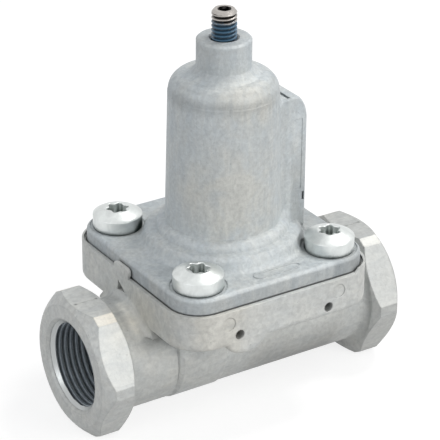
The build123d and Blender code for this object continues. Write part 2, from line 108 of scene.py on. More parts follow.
class ValveColours(bpy.types.PropertyGroup):
    """Colours of the finishes."""
    body_cool: colour("Housing", "Cool tone of the housing casting", (0.588, 0.609, 0.605))
    body_warm: colour("Housing, warm", "Warm tone of the housing casting", (0.625, 0.619, 0.578))
    bonnet_cool: colour("Bonnet", "Cool tone of the bonnet casting", (0.546, 0.594, 0.622))
    bonnet_warm: colour("Bonnet, warm", "Warm tone of the bonnet casting", (0.598, 0.604, 0.576))
    zinc: colour("Zinc plating", "Colour of the cover screws", (0.730, 0.760, 0.752))
    steel: colour("Dark steel", "Bare steel of the adjusting screw", (0.200, 0.190, 0.180))
    patch: colour("Thread lock patch", "Blue coating on the adjusting screw", (0.034, 0.094, 0.155))
    floor: colour("Floor", "Floor and backdrop", (0.330, 0.330, 0.330))


class Wires:
    """Short calls that add nodes to a shader or geometry tree and link them."""

    def __init__(self, tree):
        self.tree = tree

    def add(self, kind, inputs=None, **settings):
        """Adds a node, sets its options, and sets or links the inputs given by name or number."""
        node = self.tree.nodes.new(kind)
        for name, value in settings.items():
            setattr(node, name, value)
        for key, value in (inputs or {}).items():
            if isinstance(value, bpy.types.NodeSocket):
                self.tree.links.new(value, node.inputs[key])
            else:
                node.inputs[key].default_value = value
        return node

    def math(self, operation, *values, clamp=False):
        """One Math node on sockets or numbers."""
        node = self.add("ShaderNodeMath", dict(enumerate(values)), operation=operation)
        node.use_clamp = clamp
        return node.outputs[0]

    def mix(self, factor, first, second, blend="MIX"):
        """One colour Mix node."""
        node = self.add("ShaderNodeMix", data_type="RGBA", blend_type=blend)
        for key, value in ((0, factor), (6, first), (7, second)):
            if isinstance(value, bpy.types.NodeSocket):
                self.tree.links.new(value, node.inputs[key])
            elif key == 0:
                node.inputs[key].default_value = value
            else:
                node.inputs[key].default_value = (*value[:3], 1.0)
        return node.outputs[2]

    def ramp(self, value, low, high, to_low=0.0, to_high=1.0):
        """Maps one range of a value to another, clamped."""
        return self.add("ShaderNodeMapRange", {0: value, 1: low, 2: high, 3: to_low, 4: to_high}).outputs[0]


def group_tree(name, kind, inputs, outputs):
    """A node group with named sockets, and the ends to wire it to."""
    tree = bpy.data.node_groups.new(name, kind)
    for socket, socket_kind, default in inputs:
        made = tree.interface.new_socket(socket, in_out="INPUT", socket_type=socket_kind)
        if default is not None:
            made.default_value = default
    for socket, socket_kind in outputs:
        tree.interface.new_socket(socket, in_out="OUTPUT", socket_type=socket_kind)
    return tree, tree.nodes.new("NodeGroupInput").outputs, tree.nodes.new("NodeGroupOutput").inputs


def thread_group():
    """Thread surface along +Z whose rows follow the helix, closed at its ends."""
    found = bpy.data.node_groups.get("Thread surface")
    if found:
        return found
    number, whole = "NodeSocketFloat", "NodeSocketInt"
    tree, given, out = group_tree(
        "Thread surface", "GeometryNodeTree",
        [("Root Radius", number, 0.0110), ("Crest Radius", number, 0.0102), ("Pitch", number, 0.0015),
         ("Length", number, 0.014), ("Closing Radius", number, 0.0112), ("Rows", whole, 16),
         ("Segments", whole, 96), ("Root Flat", number, 0.125), ("Crest Flat", number, 0.25),
         ("Run Out", number, 0.0015), ("Lead In", number, 0.0)],
        [("Mesh", "NodeSocketGeometry")])
    wires = Wires(tree)
    math_node = wires.math
    rows_per_pitch = given["Rows"]
    turns = math_node("CEIL", math_node("DIVIDE", given["Length"], given["Pitch"]))
    thread_rows = math_node("MULTIPLY", math_node("ADD", turns, 1.0), rows_per_pitch)
    last = math_node("ADD", thread_rows, 3.0)
    columns = math_node("ADD", given["Segments"], 1.0)
    grid = wires.add("GeometryNodeMeshGrid", {
        "Size X": last, "Size Y": given["Segments"],
        "Vertices X": math_node("ADD", last, 1.0), "Vertices Y": columns})
    place = wires.add("ShaderNodeSeparateXYZ", {0: wires.add("GeometryNodeInputPosition").outputs[0]}).outputs
    row = math_node("ROUND", math_node("ADD", place[0], math_node("DIVIDE", last, 2.0)))
    share = math_node("ADD", math_node("DIVIDE", place[1], given["Segments"]), 0.5)
    step = math_node("DIVIDE", math_node("SUBTRACT", row, 1.0), rows_per_pitch)
    raw = math_node("MULTIPLY", math_node("ADD", math_node("SUBTRACT", step, 1.0), share), given["Pitch"])
    along = math_node("MINIMUM", math_node("MAXIMUM", raw, 0.0), given["Length"])
    phase = math_node("FRACT", math_node("ADD", step, 64.0))
    saw = math_node("SUBTRACT", 1.0, math_node("ABSOLUTE",
                    math_node("SUBTRACT", math_node("MULTIPLY", phase, 2.0), 1.0)))
    flank = math_node("SUBTRACT", math_node("SUBTRACT", 1.0, given["Root Flat"]), given["Crest Flat"])
    height = math_node("DIVIDE", math_node("SUBTRACT", saw, given["Root Flat"]), flank, clamp=True)
    end = math_node("MINIMUM", along, math_node("SUBTRACT", given["Length"], along))
    fade = math_node("DIVIDE", end, given["Run Out"], clamp=True)
    left = math_node("SUBTRACT", given["Length"], along)
    cone = math_node("DIVIDE", left, math_node("MAXIMUM", given["Lead In"], 1e-6))
    cone = math_node("MULTIPLY", cone, math_node("LESS_THAN", cone, 1.0))
    height = math_node("MAXIMUM", math_node("MULTIPLY", height, fade), cone)
    rise = math_node("MULTIPLY", height, math_node("SUBTRACT", given["Crest Radius"], given["Root Radius"]))
    radius = math_node("ADD", given["Root Radius"], rise)
    first_row = math_node("LESS_THAN", row, 0.5)
    last_rows = math_node("GREATER_THAN", row, math_node("SUBTRACT", last, 1.5))
    very_last = math_node("GREATER_THAN", row, math_node("SUBTRACT", last, 0.5))
    closing = math_node("MAXIMUM", first_row, last_rows)
    radius = math_node("ADD", math_node("MULTIPLY", radius, math_node("SUBTRACT", 1.0, closing)),
                       math_node("MULTIPLY", given["Closing Radius"], closing))
    along = math_node("MULTIPLY", along, math_node("SUBTRACT", 1.0, very_last))
    angle = math_node("MULTIPLY", share, math.tau)
    point = wires.add("ShaderNodeCombineXYZ", {
        0: math_node("MULTIPLY", radius, math_node("COSINE", angle)),
        1: math_node("MULTIPLY", radius, math_node("SINE", angle)), 2: along}).outputs[0]
    placed = wires.add("GeometryNodeSetPosition", {"Geometry": grid.outputs[0], "Position": point})
    merged = wires.add("GeometryNodeMergeByDistance", {"Geometry": placed.outputs[0], "Distance": 2e-7})
    tree.links.new(merged.outputs[0], out[0])
    return tree


def node_modifier(piece, tree, values):
    """Runs a geometry tree on a piece with inputs set by their socket identifiers."""
    modifier = piece.modifiers.new("Build", "NODES")
    modifier.node_group = tree
    for item in tree.interface.items_tree:
        if item.in_out == "INPUT" and item.name in values:
            modifier[item.identifier] = values[item.name]


def to_plain_mesh(piece):
    """Replaces a piece's live modifiers by the mesh they make."""
    bpy.context.view_layer.update()
    evaluated = piece.evaluated_get(bpy.context.evaluated_depsgraph_get())
    mesh = bpy.data.meshes.new_from_object(evaluated)
    piece.modifiers.clear()
    piece.data = mesh
    mesh.name = piece.name
    return piece


def new_piece(name, mesh=None):
    """A mesh object at the origin."""
    piece = bpy.data.objects.new(name, mesh or bpy.data.meshes.new(name))
    bpy.context.scene.collection.objects.link(piece)
    return piece


def finish_mesh(piece, material, outwards=True):
    """Gives a plain mesh its material, consistent normals and smooth faces with sharp edges kept."""
    mesh = piece.data
    edit = bmesh.new()
    edit.from_mesh(mesh)
    bmesh.ops.remove_doubles(edit, verts=edit.verts, dist=2e-7)
    bmesh.ops.dissolve_degenerate(edit, dist=1e-8, edges=edit.edges)
    bmesh.ops.delete(edit, geom=[edge for edge in edit.edges if edge.is_wire], context="EDGES")
    if outwards:
        bmesh.ops.recalc_face_normals(edit, faces=edit.faces)
    for face in edit.faces:
        face.smooth = True
    for edge in edit.edges:
        edge.smooth = edge.is_manifold and edge.calc_face_angle(0.0) < math.radians(32)
    edit.to_mesh(mesh)
    edit.free()
    mesh.materials.clear()
    mesh.materials.append(material)
    return piece


def ring_loft(rings, segments):
    """Closed mesh through rings of (z, radius, lobe depth), in millimetres, from the bottom pole up."""
    edit = bmesh.new()
    loops = []
    for z, radius, lobe in rings:
        loop = []
        for i in range(segments):
            angle = math.tau * i / segments
            reach = (radius + lobe * math.cos(6 * angle)) * MM
            loop.append(edit.verts.new((reach * math.cos(angle), reach * math.sin(angle), z * MM)))
        loops.append(loop)
    for low, high in zip(loops, loops[1:]):
        for i in range(segments):
            j = (i + 1) % segments
            edit.faces.new((low[i], low[j], high[j], high[i]))
    edit.faces.new(list(reversed(loops[0])))
    edit.faces.new(loops[-1])
    mesh = bpy.data.meshes.new("ring_loft")
    edit.to_mesh(mesh)
    edit.free()
    return mesh


def skin_group():
    """Skin of a die casting: blotches, fine mottle, grain and pits, all in object space."""
    found = bpy.data.node_groups.get("Cast skin")
    if found:
        return found
    number = "NodeSocketFloat"
    tree, given, out = group_tree(
        "Cast skin", "ShaderNodeTree",
        [("Blotch Size", number, 9.0), ("Mottle Size", number, 1.1), ("Grain Size", number, 0.22),
         ("Flow Size", number, 2.2), ("Flow Along", "NodeSocketVector", (1.0, 1.0, 0.2))],
        [("Blotch", number), ("Mottle", number), ("Grain", number), ("Pit", number), ("Flow", number)])
    wires = Wires(tree)
    place = wires.add("ShaderNodeTexCoord").outputs["Object"]
    metres = wires.add("ShaderNodeVectorMath", {0: place, 3: 1000.0}, operation="SCALE").outputs[0]
    drawn = wires.add("ShaderNodeVectorMath", {0: metres, 1: given["Flow Along"]}, operation="MULTIPLY")

    def noise(vector, size, detail, roughness, distortion=0.0):
        scale = wires.math("DIVIDE", 1.0, size)
        return wires.add("ShaderNodeTexNoise", {"Vector": vector, "Scale": scale, "Detail": detail,
                                                "Roughness": roughness, "Distortion": distortion}).outputs[0]

    blotch = wires.ramp(noise(metres, given["Blotch Size"], 3.0, 0.55, 0.6), 0.36, 0.64)
    mottle = wires.ramp(noise(metres, given["Mottle Size"], 3.0, 0.60, 0.4), 0.32, 0.68)
    grain = noise(metres, given["Grain Size"], 2.0, 0.5)
    flow = wires.ramp(noise(drawn.outputs[0], given["Flow Size"], 3.0, 0.60, 0.8), 0.34, 0.66)
    cells = wires.add("ShaderNodeTexVoronoi", {"Vector": metres, "Scale": 0.55, "Randomness": 1.0})
    pick = wires.add("ShaderNodeSeparateColor", {0: cells.outputs["Color"]}).outputs[0]
    pit = wires.math("MULTIPLY", wires.math("GREATER_THAN", pick, 0.72),
                     wires.ramp(cells.outputs["Distance"], 0.05, 0.13, 1.0, 0.0))
    for index, socket in enumerate((blotch, mottle, grain, pit, flow)):
        tree.links.new(socket, out[index])
    return tree


def edge_group():
    """Masks of outer edges and of creases, which the materials use for a painted highlight and painted shade
    on edges and for painted shade in creases, with the normal of a small rounded edge.
    """
    found = bpy.data.node_groups.get("Edge and crease")
    if found:
        return found
    number = "NodeSocketFloat"
    tree, given, out = group_tree(
        "Edge and crease", "ShaderNodeTree",
        [("Edge Radius", number, 0.0004), ("Crease Reach", number, 0.004), ("Edge Gain", number, 6.0)],
        [("Edge", number), ("Crease", number), ("Normal", "NodeSocketVector")])
    wires = Wires(tree)
    rounded = wires.add("ShaderNodeBevel", {"Radius": given["Edge Radius"]}, samples=6).outputs[0]
    flat = wires.add("ShaderNodeNewGeometry").outputs["Normal"]
    along = wires.add("ShaderNodeVectorMath", {0: rounded, 1: flat}, operation="DOT_PRODUCT").outputs["Value"]
    turned = wires.math("MULTIPLY", wires.math("SUBTRACT", 1.0, along), given["Edge Gain"], clamp=True)
    crease = wires.add("ShaderNodeAmbientOcclusion", {"Distance": given["Crease Reach"]}, samples=8)
    inner = wires.math("SUBTRACT", 1.0, crease.outputs["AO"])
    outer = wires.math("SUBTRACT", 1.0, wires.ramp(inner, 0.10, 0.45))
    tree.links.new(wires.math("MULTIPLY", turned, outer), out[0])
    tree.links.new(inner, out[1])
    tree.links.new(rounded, out[2])
    return tree


def new_material(name):
    """A material with its Principled shader and a place to wire to."""
    material = bpy.data.materials.new(name)
    material.use_nodes = True
    tree = material.node_tree
    return material, Wires(tree), tree.nodes["Principled BSDF"]


def use_group(wires, tree, values):
    """Places a node group in a material with its own values."""
    kind = "ShaderNodeGroup"
    node = wires.tree.nodes.new(kind)
    node.node_tree = tree
    for name, value in values.items():
        node.inputs[name].default_value = value
    return node.outputs


def bump(wires, height, distance, strength, normal=None):
    """A Bump node in millimetres of relief."""
    inputs = {"Height": height, "Distance": distance * MM, "Strength": strength}
    if normal is not None:
        inputs["Normal"] = normal
    return wires.add("ShaderNodeBump", inputs).outputs[0]


def near(wires, place, spot, reach):
    """Mask that is 1 at a spot, given in millimetres, and fades to 0 at its reach."""
    middle = tuple(value * MM for value in spot)
    gap = wires.add("ShaderNodeVectorMath", {0: place, 1: middle}, operation="DISTANCE").outputs["Value"]
    return wires.ramp(gap, 0.2 * reach * MM, reach * MM, 1.0, 0.0)


def cast_material(name, cool, warm, values, spots, details):
    """Die-cast metal: mottled, a little lighter on edges as a painted highlight, darker in creases as painted
    shade, warmer at some spots.
    """
    material, wires, shader = new_material(name)
    skin = use_group(wires, skin_group(), values)
    edge = use_group(wires, edge_group(), {"Edge Radius": 0.00045})
    place = wires.add("ShaderNodeTexCoord").outputs["Object"]
    warmth = wires.math("ADD", wires.math("MULTIPLY", skin["Blotch"], 0.30),
                        wires.math("MULTIPLY", skin["Flow"], 0.30))
    for spot, reach in spots:
        patchy = wires.ramp(skin["Blotch"], 0.0, 1.0, 0.4, 1.0)
        spread = wires.math("MULTIPLY", near(wires, place, spot, reach), patchy)
        warmth = wires.math("ADD", warmth, spread, clamp=True)
    base = wires.mix(warmth, cool, warm)
    tone = wires.math("MULTIPLY", wires.ramp(skin["Mottle"], 0.0, 1.0, 0.88, 1.10),
                      wires.ramp(skin["Flow"], 0.0, 1.0, 0.94, 1.06))
    # painted shade: darker where the surface lies in a crease
    shade = wires.math("MULTIPLY", tone, wires.ramp(edge["Crease"], 0.42, 1.0, 1.0, 0.62))
    shade = wires.math("MULTIPLY", shade, wires.ramp(skin["Pit"], 0.0, 1.0, 1.0, 0.82))
    rough = wires.ramp(skin["Mottle"], 0.0, 1.0, 0.56, 0.66)
    relief = wires.math("ADD", wires.math("MULTIPLY", skin["Grain"], 0.4), skin["Mottle"])
    relief = wires.math("ADD", relief, wires.math("MULTIPLY", skin["Flow"], 1.5))
    relief = wires.math("SUBTRACT", relief, skin["Pit"])
    added = details(wires, place, skin, edge["Edge"])
    shade = wires.math("MULTIPLY", shade, added["shade"])
    base = wires.mix(1.0, base, added["colour"], "MULTIPLY")
    rough = wires.math("ADD", rough, added["rough"])
    relief = wires.math("ADD", relief, added["relief"])
    tint = wires.add("ShaderNodeCombineColor", {0: shade, 1: shade, 2: shade}).outputs[0]
    wires.tree.links.new(wires.mix(1.0, base, tint, "MULTIPLY"), shader.inputs["Base Color"])
    shader.inputs["Metallic"].default_value = 0.25
    rough = wires.math("ADD", rough, wires.math("MULTIPLY", edge["Edge"], -0.08))
    wires.tree.links.new(rough, shader.inputs["Roughness"])
    wires.tree.links.new(bump(wires, relief, 0.05, 0.7, edge["Normal"]), shader.inputs["Normal"])
    return material


def product(wires, factors):
    """All factors multiplied."""
    total = factors[0]
    for factor in factors[1:]:
        total = wires.math("MULTIPLY", total, factor)
    return total


def housing_details(wires, place, skin, edge):
    """Trimmed hexagon ends with lands painted bright as a painted highlight, pits beside the seams, and the
    joint inside the rim darkened as painted shade; also painted highlights on cast edges, the collar ridge
    and the front wall, and painted shade on the right hexagon end, on hexagon edges and low on the housing.
    """
    axes = wires.add("ShaderNodeSeparateXYZ", {0: place}).outputs
    trim = trimmed_ends(wires, place)
    # painted shade: the right hexagon end is painted darker than the left
    left = wires.ramp(axes[0], -0.001, 0.001, 1.00, 0.90)
    ends = wires.add("ShaderNodeMapRange", {0: trim["ends"], 1: 0.0, 2: 1.0, 3: 1.0, 4: left}).outputs[0]
    # painted shade in the gap inside the rim, where the bonnet flange sits on the housing
    corner = [wires.math("MAXIMUM", wires.math("SUBTRACT", wires.math("ABSOLUTE", axes[k]), 0.0181), 0.0)
              for k in (0, 1)]
    out = wires.math("SQRT", wires.math("ADD", wires.math("MULTIPLY", corner[0], corner[0]),
                                        wires.math("MULTIPLY", corner[1], corner[1])))
    inside = wires.math("MAXIMUM", wires.math("LESS_THAN", out, 0.00795),
                        product(wires, [wires.math("LESS_THAN", out, 0.0083),
                                        wires.math("GREATER_THAN", axes[2], JOINT_Z + 0.0001)]))
    joint = product(wires, [inside, wires.math("GREATER_THAN", axes[2], JOINT_Z - 0.00006),
                            wires.math("LESS_THAN", axes[2], JOINT_Z + 0.00072)])
    # painted highlight along the ridge of the collar below the left wall, lighter and warmer
    ridge_highlight = product(wires, [
        wires.ramp(wires.math("ABSOLUTE", wires.math("ADD", axes[0], 0.0293)), 0.0003, 0.0018, 1.0, 0.0),
        wires.ramp(axes[2], 0.0240, 0.0265), wires.ramp(axes[1], -0.0020, 0.0010, 1.0, 0.0)])
    # painted highlight on the cast edges and painted shade on the edges of the hexagon ends
    edge_tone = wires.add("ShaderNodeMapRange", {
        0: edge, 1: 0.0, 2: 0.35, 3: 1.0, 4: wires.ramp(trim["ends"], 0.0, 1.0, 1.02, 0.86)}).outputs[0]
    # painted light: the front wall is painted a little lighter
    wall = wires.ramp(axes[1], -0.0267, -0.0262, 1.06, 1.0)
    # painted shade, mottled: the housing is painted darker towards its underside
    underside_shade = product(wires, [wires.ramp(axes[2], 0.0060, 0.0170, 1.0, 0.0),
                            wires.ramp(axes[0], -0.003, 0.005),
                            wires.ramp(axes[0], 0.024, 0.029, 1.0, 0.0),
                            wires.ramp(skin["Blotch"], 0.0, 1.0, 0.7, 1.0)])
    shade = product(wires, [ends, edge_tone, wall, wires.ramp(trim["pits"], 0.0, 1.0, 1.0, 0.45),
                            wires.ramp(trim["land"], 0.0, 1.0, 1.0, 1.26),
                            wires.ramp(joint, 0.0, 1.0, 1.0, 0.22),
                            wires.ramp(underside_shade, 0.0, 1.0, 1.0, 0.58),
                            wires.ramp(ridge_highlight, 0.0, 1.0, 1.0, 1.50)])
    # painted highlight on the corner lands of the hexagons: lighter and warmer, less warm on the right
    # hexagon
    land_highlight = wires.math("MULTIPLY", trim["land"], wires.ramp(axes[0], -0.001, 0.001, 1.0, 0.35))
    warm = wires.math("MAXIMUM", land_highlight, wires.math("MULTIPLY", ridge_highlight, 0.30))
    return {"shade": shade, "rough": wires.math("MULTIPLY", trim["ends"], -0.12),
            "relief": wires.math("MULTIPLY", trim["turning"], 0.5),
            "colour": wires.mix(warm, (1.0, 1.0, 1.0), (1.05, 0.995, 0.93))}


def bonnet_details(wires, place, skin, edge):
    """Darker side of the flange, and painted light and shade: the joint under the flange darkened as painted
    shade, soft bands of painted shade and highlight round the shoulder and the neck, a painted highlight
    along the root of the lug and on edges, the lug painted lighter above and darker below, and painted shade
    on the left of the neck.
    """
    axes = wires.add("ShaderNodeSeparateXYZ", {0: place}).outputs

    def ring(height, core, fade):
        gap = wires.math("ABSOLUTE", wires.math("SUBTRACT", axes[2], height))
        return wires.math("MULTIPLY", wires.ramp(gap, core, fade, 1.0, 0.0),
                          wires.ramp(axes[0], 0.010, 0.013, 1.0, 0.0))

    # painted shade on the shoulder, mottled and strongest on the left
    band = product(wires, [ring(SHOULDER_Z + 0.0003, 0.0006, 0.0024),
                           wires.ramp(skin["Blotch"], 0.0, 1.0, 0.6, 1.0),
                           wires.ramp(axes[0], -0.008, 0.008, 1.0, 0.50)])
    # painted highlight along the root of the lug on its front
    root = product(wires, [wires.ramp(axes[0], 0.0126, 0.0132), wires.ramp(axes[0], 0.0140, 0.0146, 1.0, 0.0),
                           wires.ramp(axes[1], -0.0060, -0.0050, 1.0, 0.0),
                           wires.ramp(axes[2], 0.043, 0.046)])
    # painted light and shade on the lug: lighter towards the top, darker towards its foot
    lug = wires.math("MULTIPLY", wires.ramp(axes[0], 0.0140, 0.0150),
                     wires.ramp(axes[2], 0.050, 0.062, -0.18, 0.10))
    # painted shade on the left of the neck, mottled
    neck = product(wires, [wires.ramp(axes[2], 0.0815, 0.0825), wires.ramp(axes[0], -0.0045, 0.0, 1.0, 0.0),
                           wires.ramp(skin["Blotch"], 0.0, 1.0, 0.5, 1.0)])
    shade = product(wires, [wires.ramp(band, 0.0, 1.0, 1.0, 0.74),
                            # painted shade and painted highlight rings round the base of the neck
                            wires.ramp(ring(0.0803, 0.0001, 0.0007), 0.0, 1.0, 1.0, 0.90),
                            wires.ramp(ring(0.0814, 0.0001, 0.0006), 0.0, 1.0, 1.0, 1.06),
                            wires.ramp(axes[2], FLANGE_SIDE_Z - 0.0003, FLANGE_SIDE_Z + 0.0003, 0.86, 1.0),
                            # painted shade in the gap under the flange, where it sits on the housing
                            wires.ramp(axes[2], JOINT_Z + 0.00010, JOINT_Z + 0.00035, 0.35, 1.0),
                            wires.math("ADD", lug, 1.0), wires.ramp(root, 0.0, 1.0, 1.0, 1.07),
                            wires.ramp(neck, 0.0, 1.0, 1.0, 0.88),
                            # painted highlight on edges
                            wires.ramp(edge, 0.0, 1.0, 1.0, 1.04)])
    return {"shade": shade, "rough": 0.0, "relief": 0.0, "colour": (1.0, 1.0, 1.0)}


def trimmed_ends(wires, place):
    """Masks of the hexagon ends: their trimmed flats, the faced rings and the pits beside the seams."""
    axes = wires.add("ShaderNodeSeparateXYZ", {0: place}).outputs
    reach = wires.math("ABSOLUTE", axes[0])
    back_x = FACE_X - HEX_WIDTH
    ends = wires.ramp(reach, back_x - 0.0002, back_x + 0.0001)
    height = wires.math("SUBTRACT", axes[2], PORT_Z)
    from_axis = wires.math("SQRT", wires.math("ADD", wires.math("MULTIPLY", axes[1], axes[1]),
                                              wires.math("MULTIPLY", height, height)))
    rings = wires.math("SINE", wires.math("MULTIPLY", from_axis, math.tau / 0.0004))
    faced = wires.ramp(reach, FACE_X - 0.00003, FACE_X - 0.00001)
    along = wires.math("ABSOLUTE", wires.math("SUBTRACT", reach, FACE_X - 0.0046))
    folded = wires.add("ShaderNodeCombineXYZ", {0: along, 1: axes[1], 2: axes[2]}).outputs[0]
    pits = near(wires, folded, (2.75, 0.0, HEX_TOP_Z / MM), 0.55)
    outwards = wires.math("ADD", wires.math("MULTIPLY", wires.math("ABSOLUTE", axes[1]), 0.5),
                          wires.math("MULTIPLY", height, math.sqrt(0.75)))
    # the corner lands, which the housing paints lighter as a painted highlight
    land = wires.math("MULTIPLY", ends, wires.ramp(outwards, LAND_REACH - 0.00006, LAND_REACH - 0.00002))
    return {"ends": ends, "turning": wires.math("MULTIPLY", rings, faced), "pits": pits, "land": land}


def thread_material(cool):
    """Cut thread in the ports, oily, with a fine grain: the housing colour painted darker as painted shade
    inside the bore, except at the mouth, and darker still as painted shade in the grooves.
    """
    material, wires, shader = new_material("cut_thread")
    skin = use_group(wires, skin_group(), {"Blotch Size": 5.0, "Mottle Size": 0.7, "Grain Size": 0.12})
    edge = use_group(wires, edge_group(), {"Edge Radius": 0.00012, "Crease Reach": 0.006})
    place = wires.add("ShaderNodeSeparateXYZ", {0: wires.add("ShaderNodeTexCoord").outputs["Object"]}).outputs
    mouth = wires.ramp(wires.math("ABSOLUTE", place[0]), FACE_X - 0.00175, FACE_X - 0.00165)
    # painted shade: a darkened, slightly bluer copy of the housing colour for the inside of the bore
    dark = tuple(0.66 * c * k for c, k in zip(cool, (0.92, 1.0, 1.10)))
    base = wires.mix(skin["Mottle"], dark, tuple(1.25 * c for c in dark))
    # painted shade in the thread's grooves
    shade = wires.ramp(edge["Crease"], 0.15, 0.95, 1.0, 0.30)
    tint = wires.add("ShaderNodeCombineColor", {0: shade, 1: shade, 2: shade}).outputs[0]
    base = wires.mix(mouth, wires.mix(1.0, base, tint, "MULTIPLY"), cool)
    wires.tree.links.new(base, shader.inputs["Base Color"])
    shader.inputs["Metallic"].default_value = 0.5
    wires.tree.links.new(wires.ramp(skin["Mottle"], 0.0, 1.0, 0.30, 0.42), shader.inputs["Roughness"])
    wires.tree.links.new(bump(wires, skin["Grain"], 0.02, 0.5, edge["Normal"]), shader.inputs["Normal"])
    return material


def plated_material(name, tone, rough, dirt_and_shade):
    """Plated or plain steel with faint handling marks and hollows darkened by a colour that is partly dirt
    and partly painted shade.
    """
    material, wires, shader = new_material(name)
    skin = use_group(wires, skin_group(), {"Blotch Size": 2.6, "Mottle Size": 0.5, "Grain Size": 0.10})
    edge = use_group(wires, edge_group(), {"Edge Radius": 0.00015, "Crease Reach": 0.0019})
    base = wires.mix(skin["Blotch"], tone, tuple(0.86 * c for c in tone))
    # dirt and painted shade: the hollow colour mixed in where the surface lies in a crease
    base = wires.mix(wires.ramp(edge["Crease"], 0.26, 0.66), base, dirt_and_shade)
    wires.tree.links.new(base, shader.inputs["Base Color"])
    shader.inputs["Metallic"].default_value = 1.0
    satin = wires.ramp(skin["Mottle"], 0.0, 1.0, rough, rough + 0.14)
    wires.tree.links.new(satin, shader.inputs["Roughness"])
    wires.tree.links.new(bump(wires, skin["Mottle"], 0.012, 0.4, edge["Normal"]), shader.inputs["Normal"])
    return material


def patched_steel(steel, patch):
    """Dark steel of the adjusting screw with its blue thread lock patch below the first turns, its crests and
    top face painted lighter as a painted highlight and its roots and creases darker as painted shade.
    """
    material, wires, shader = new_material("patched_steel")
    skin = use_group(wires, skin_group(), {"Blotch Size": 1.3, "Mottle Size": 0.35, "Grain Size": 0.10})
    place = wires.add("ShaderNodeSeparateXYZ", {0: wires.add("ShaderNodeTexCoord").outputs["Object"]}).outputs
    edge = use_group(wires, edge_group(), {"Edge Radius": 0.00008, "Crease Reach": 0.0010, "Edge Gain": 3.0})
    from_axis = wires.math("SQRT", wires.math("ADD", wires.math("MULTIPLY", place[0], place[0]),
                                              wires.math("MULTIPLY", place[1], place[1])))
    # painted highlight on the crests and the top face, painted shade in the roots
    crest = wires.ramp(from_axis, 0.00255, 0.00292)
    crest = wires.math("MAXIMUM", crest, wires.math("MULTIPLY", wires.ramp(place[2], 0.09625, 0.09635),
                                                    wires.ramp(from_axis, 0.0015, 0.0017)))
    border = wires.math("ADD", place[2], wires.math("MULTIPLY", skin["Blotch"], 0.0006))
    coated = wires.math("MULTIPLY", wires.ramp(border, 0.0942, 0.0950, 1.0, 0.0),
                        wires.ramp(border, 0.0765, 0.0770, 0.0, 1.0))
    metal = wires.mix(crest, tuple(0.10 * c for c in steel), tuple(2.2 * c for c in steel))
    coat = wires.mix(wires.math("MULTIPLY", crest, wires.ramp(skin["Mottle"], 0.0, 1.0, 0.6, 1.0)),
                     tuple(0.50 * c for c in patch), tuple(1.7 * c + 0.02 for c in patch))
    base = wires.mix(coated, metal, coat)
    # painted shade in creases
    shade = wires.ramp(edge["Crease"], 0.2, 1.0, 1.0, 0.30)
    tint = wires.add("ShaderNodeCombineColor", {0: shade, 1: shade, 2: shade}).outputs[0]
    wires.tree.links.new(wires.mix(1.0, base, tint, "MULTIPLY"), shader.inputs["Base Color"])
    wires.tree.links.new(wires.ramp(coated, 0.0, 1.0, 0.95, 0.05), shader.inputs["Metallic"])
    wires.tree.links.new(wires.ramp(skin["Mottle"], 0.0, 1.0, 0.30, 0.46), shader.inputs["Roughness"])
    wires.tree.links.new(bump(wires, skin["Mottle"], 0.03, 0.5, edge["Normal"]), shader.inputs["Normal"])
    return material


def soft_material(name, tone, rough, metallic=0.0):
    """Rubber or moulded plastic with a fine satin grain."""
    material, wires, shader = new_material(name)
    skin = use_group(wires, skin_group(), {"Blotch Size": 3.0, "Mottle Size": 0.6, "Grain Size": 0.15})
    edge = use_group(wires, edge_group(), {"Edge Radius": 0.0002})
    base = wires.mix(skin["Mottle"], tone, tuple(min(1.0, 1.35 * c + 0.004) for c in tone))
    wires.tree.links.new(base, shader.inputs["Base Color"])
    shader.inputs["Metallic"].default_value = metallic
    wires.tree.links.new(wires.ramp(skin["Grain"], 0.3, 0.7, rough - 0.06, rough + 0.08),
                         shader.inputs["Roughness"])
    wires.tree.links.new(bump(wires, skin["Grain"], 0.02, 0.6, edge["Normal"]), shader.inputs["Normal"])
    return material


def dress_node(node, material):
    """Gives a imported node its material."""
    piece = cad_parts[node]
    piece.data.materials.clear()
    piece.data.materials.append(material)


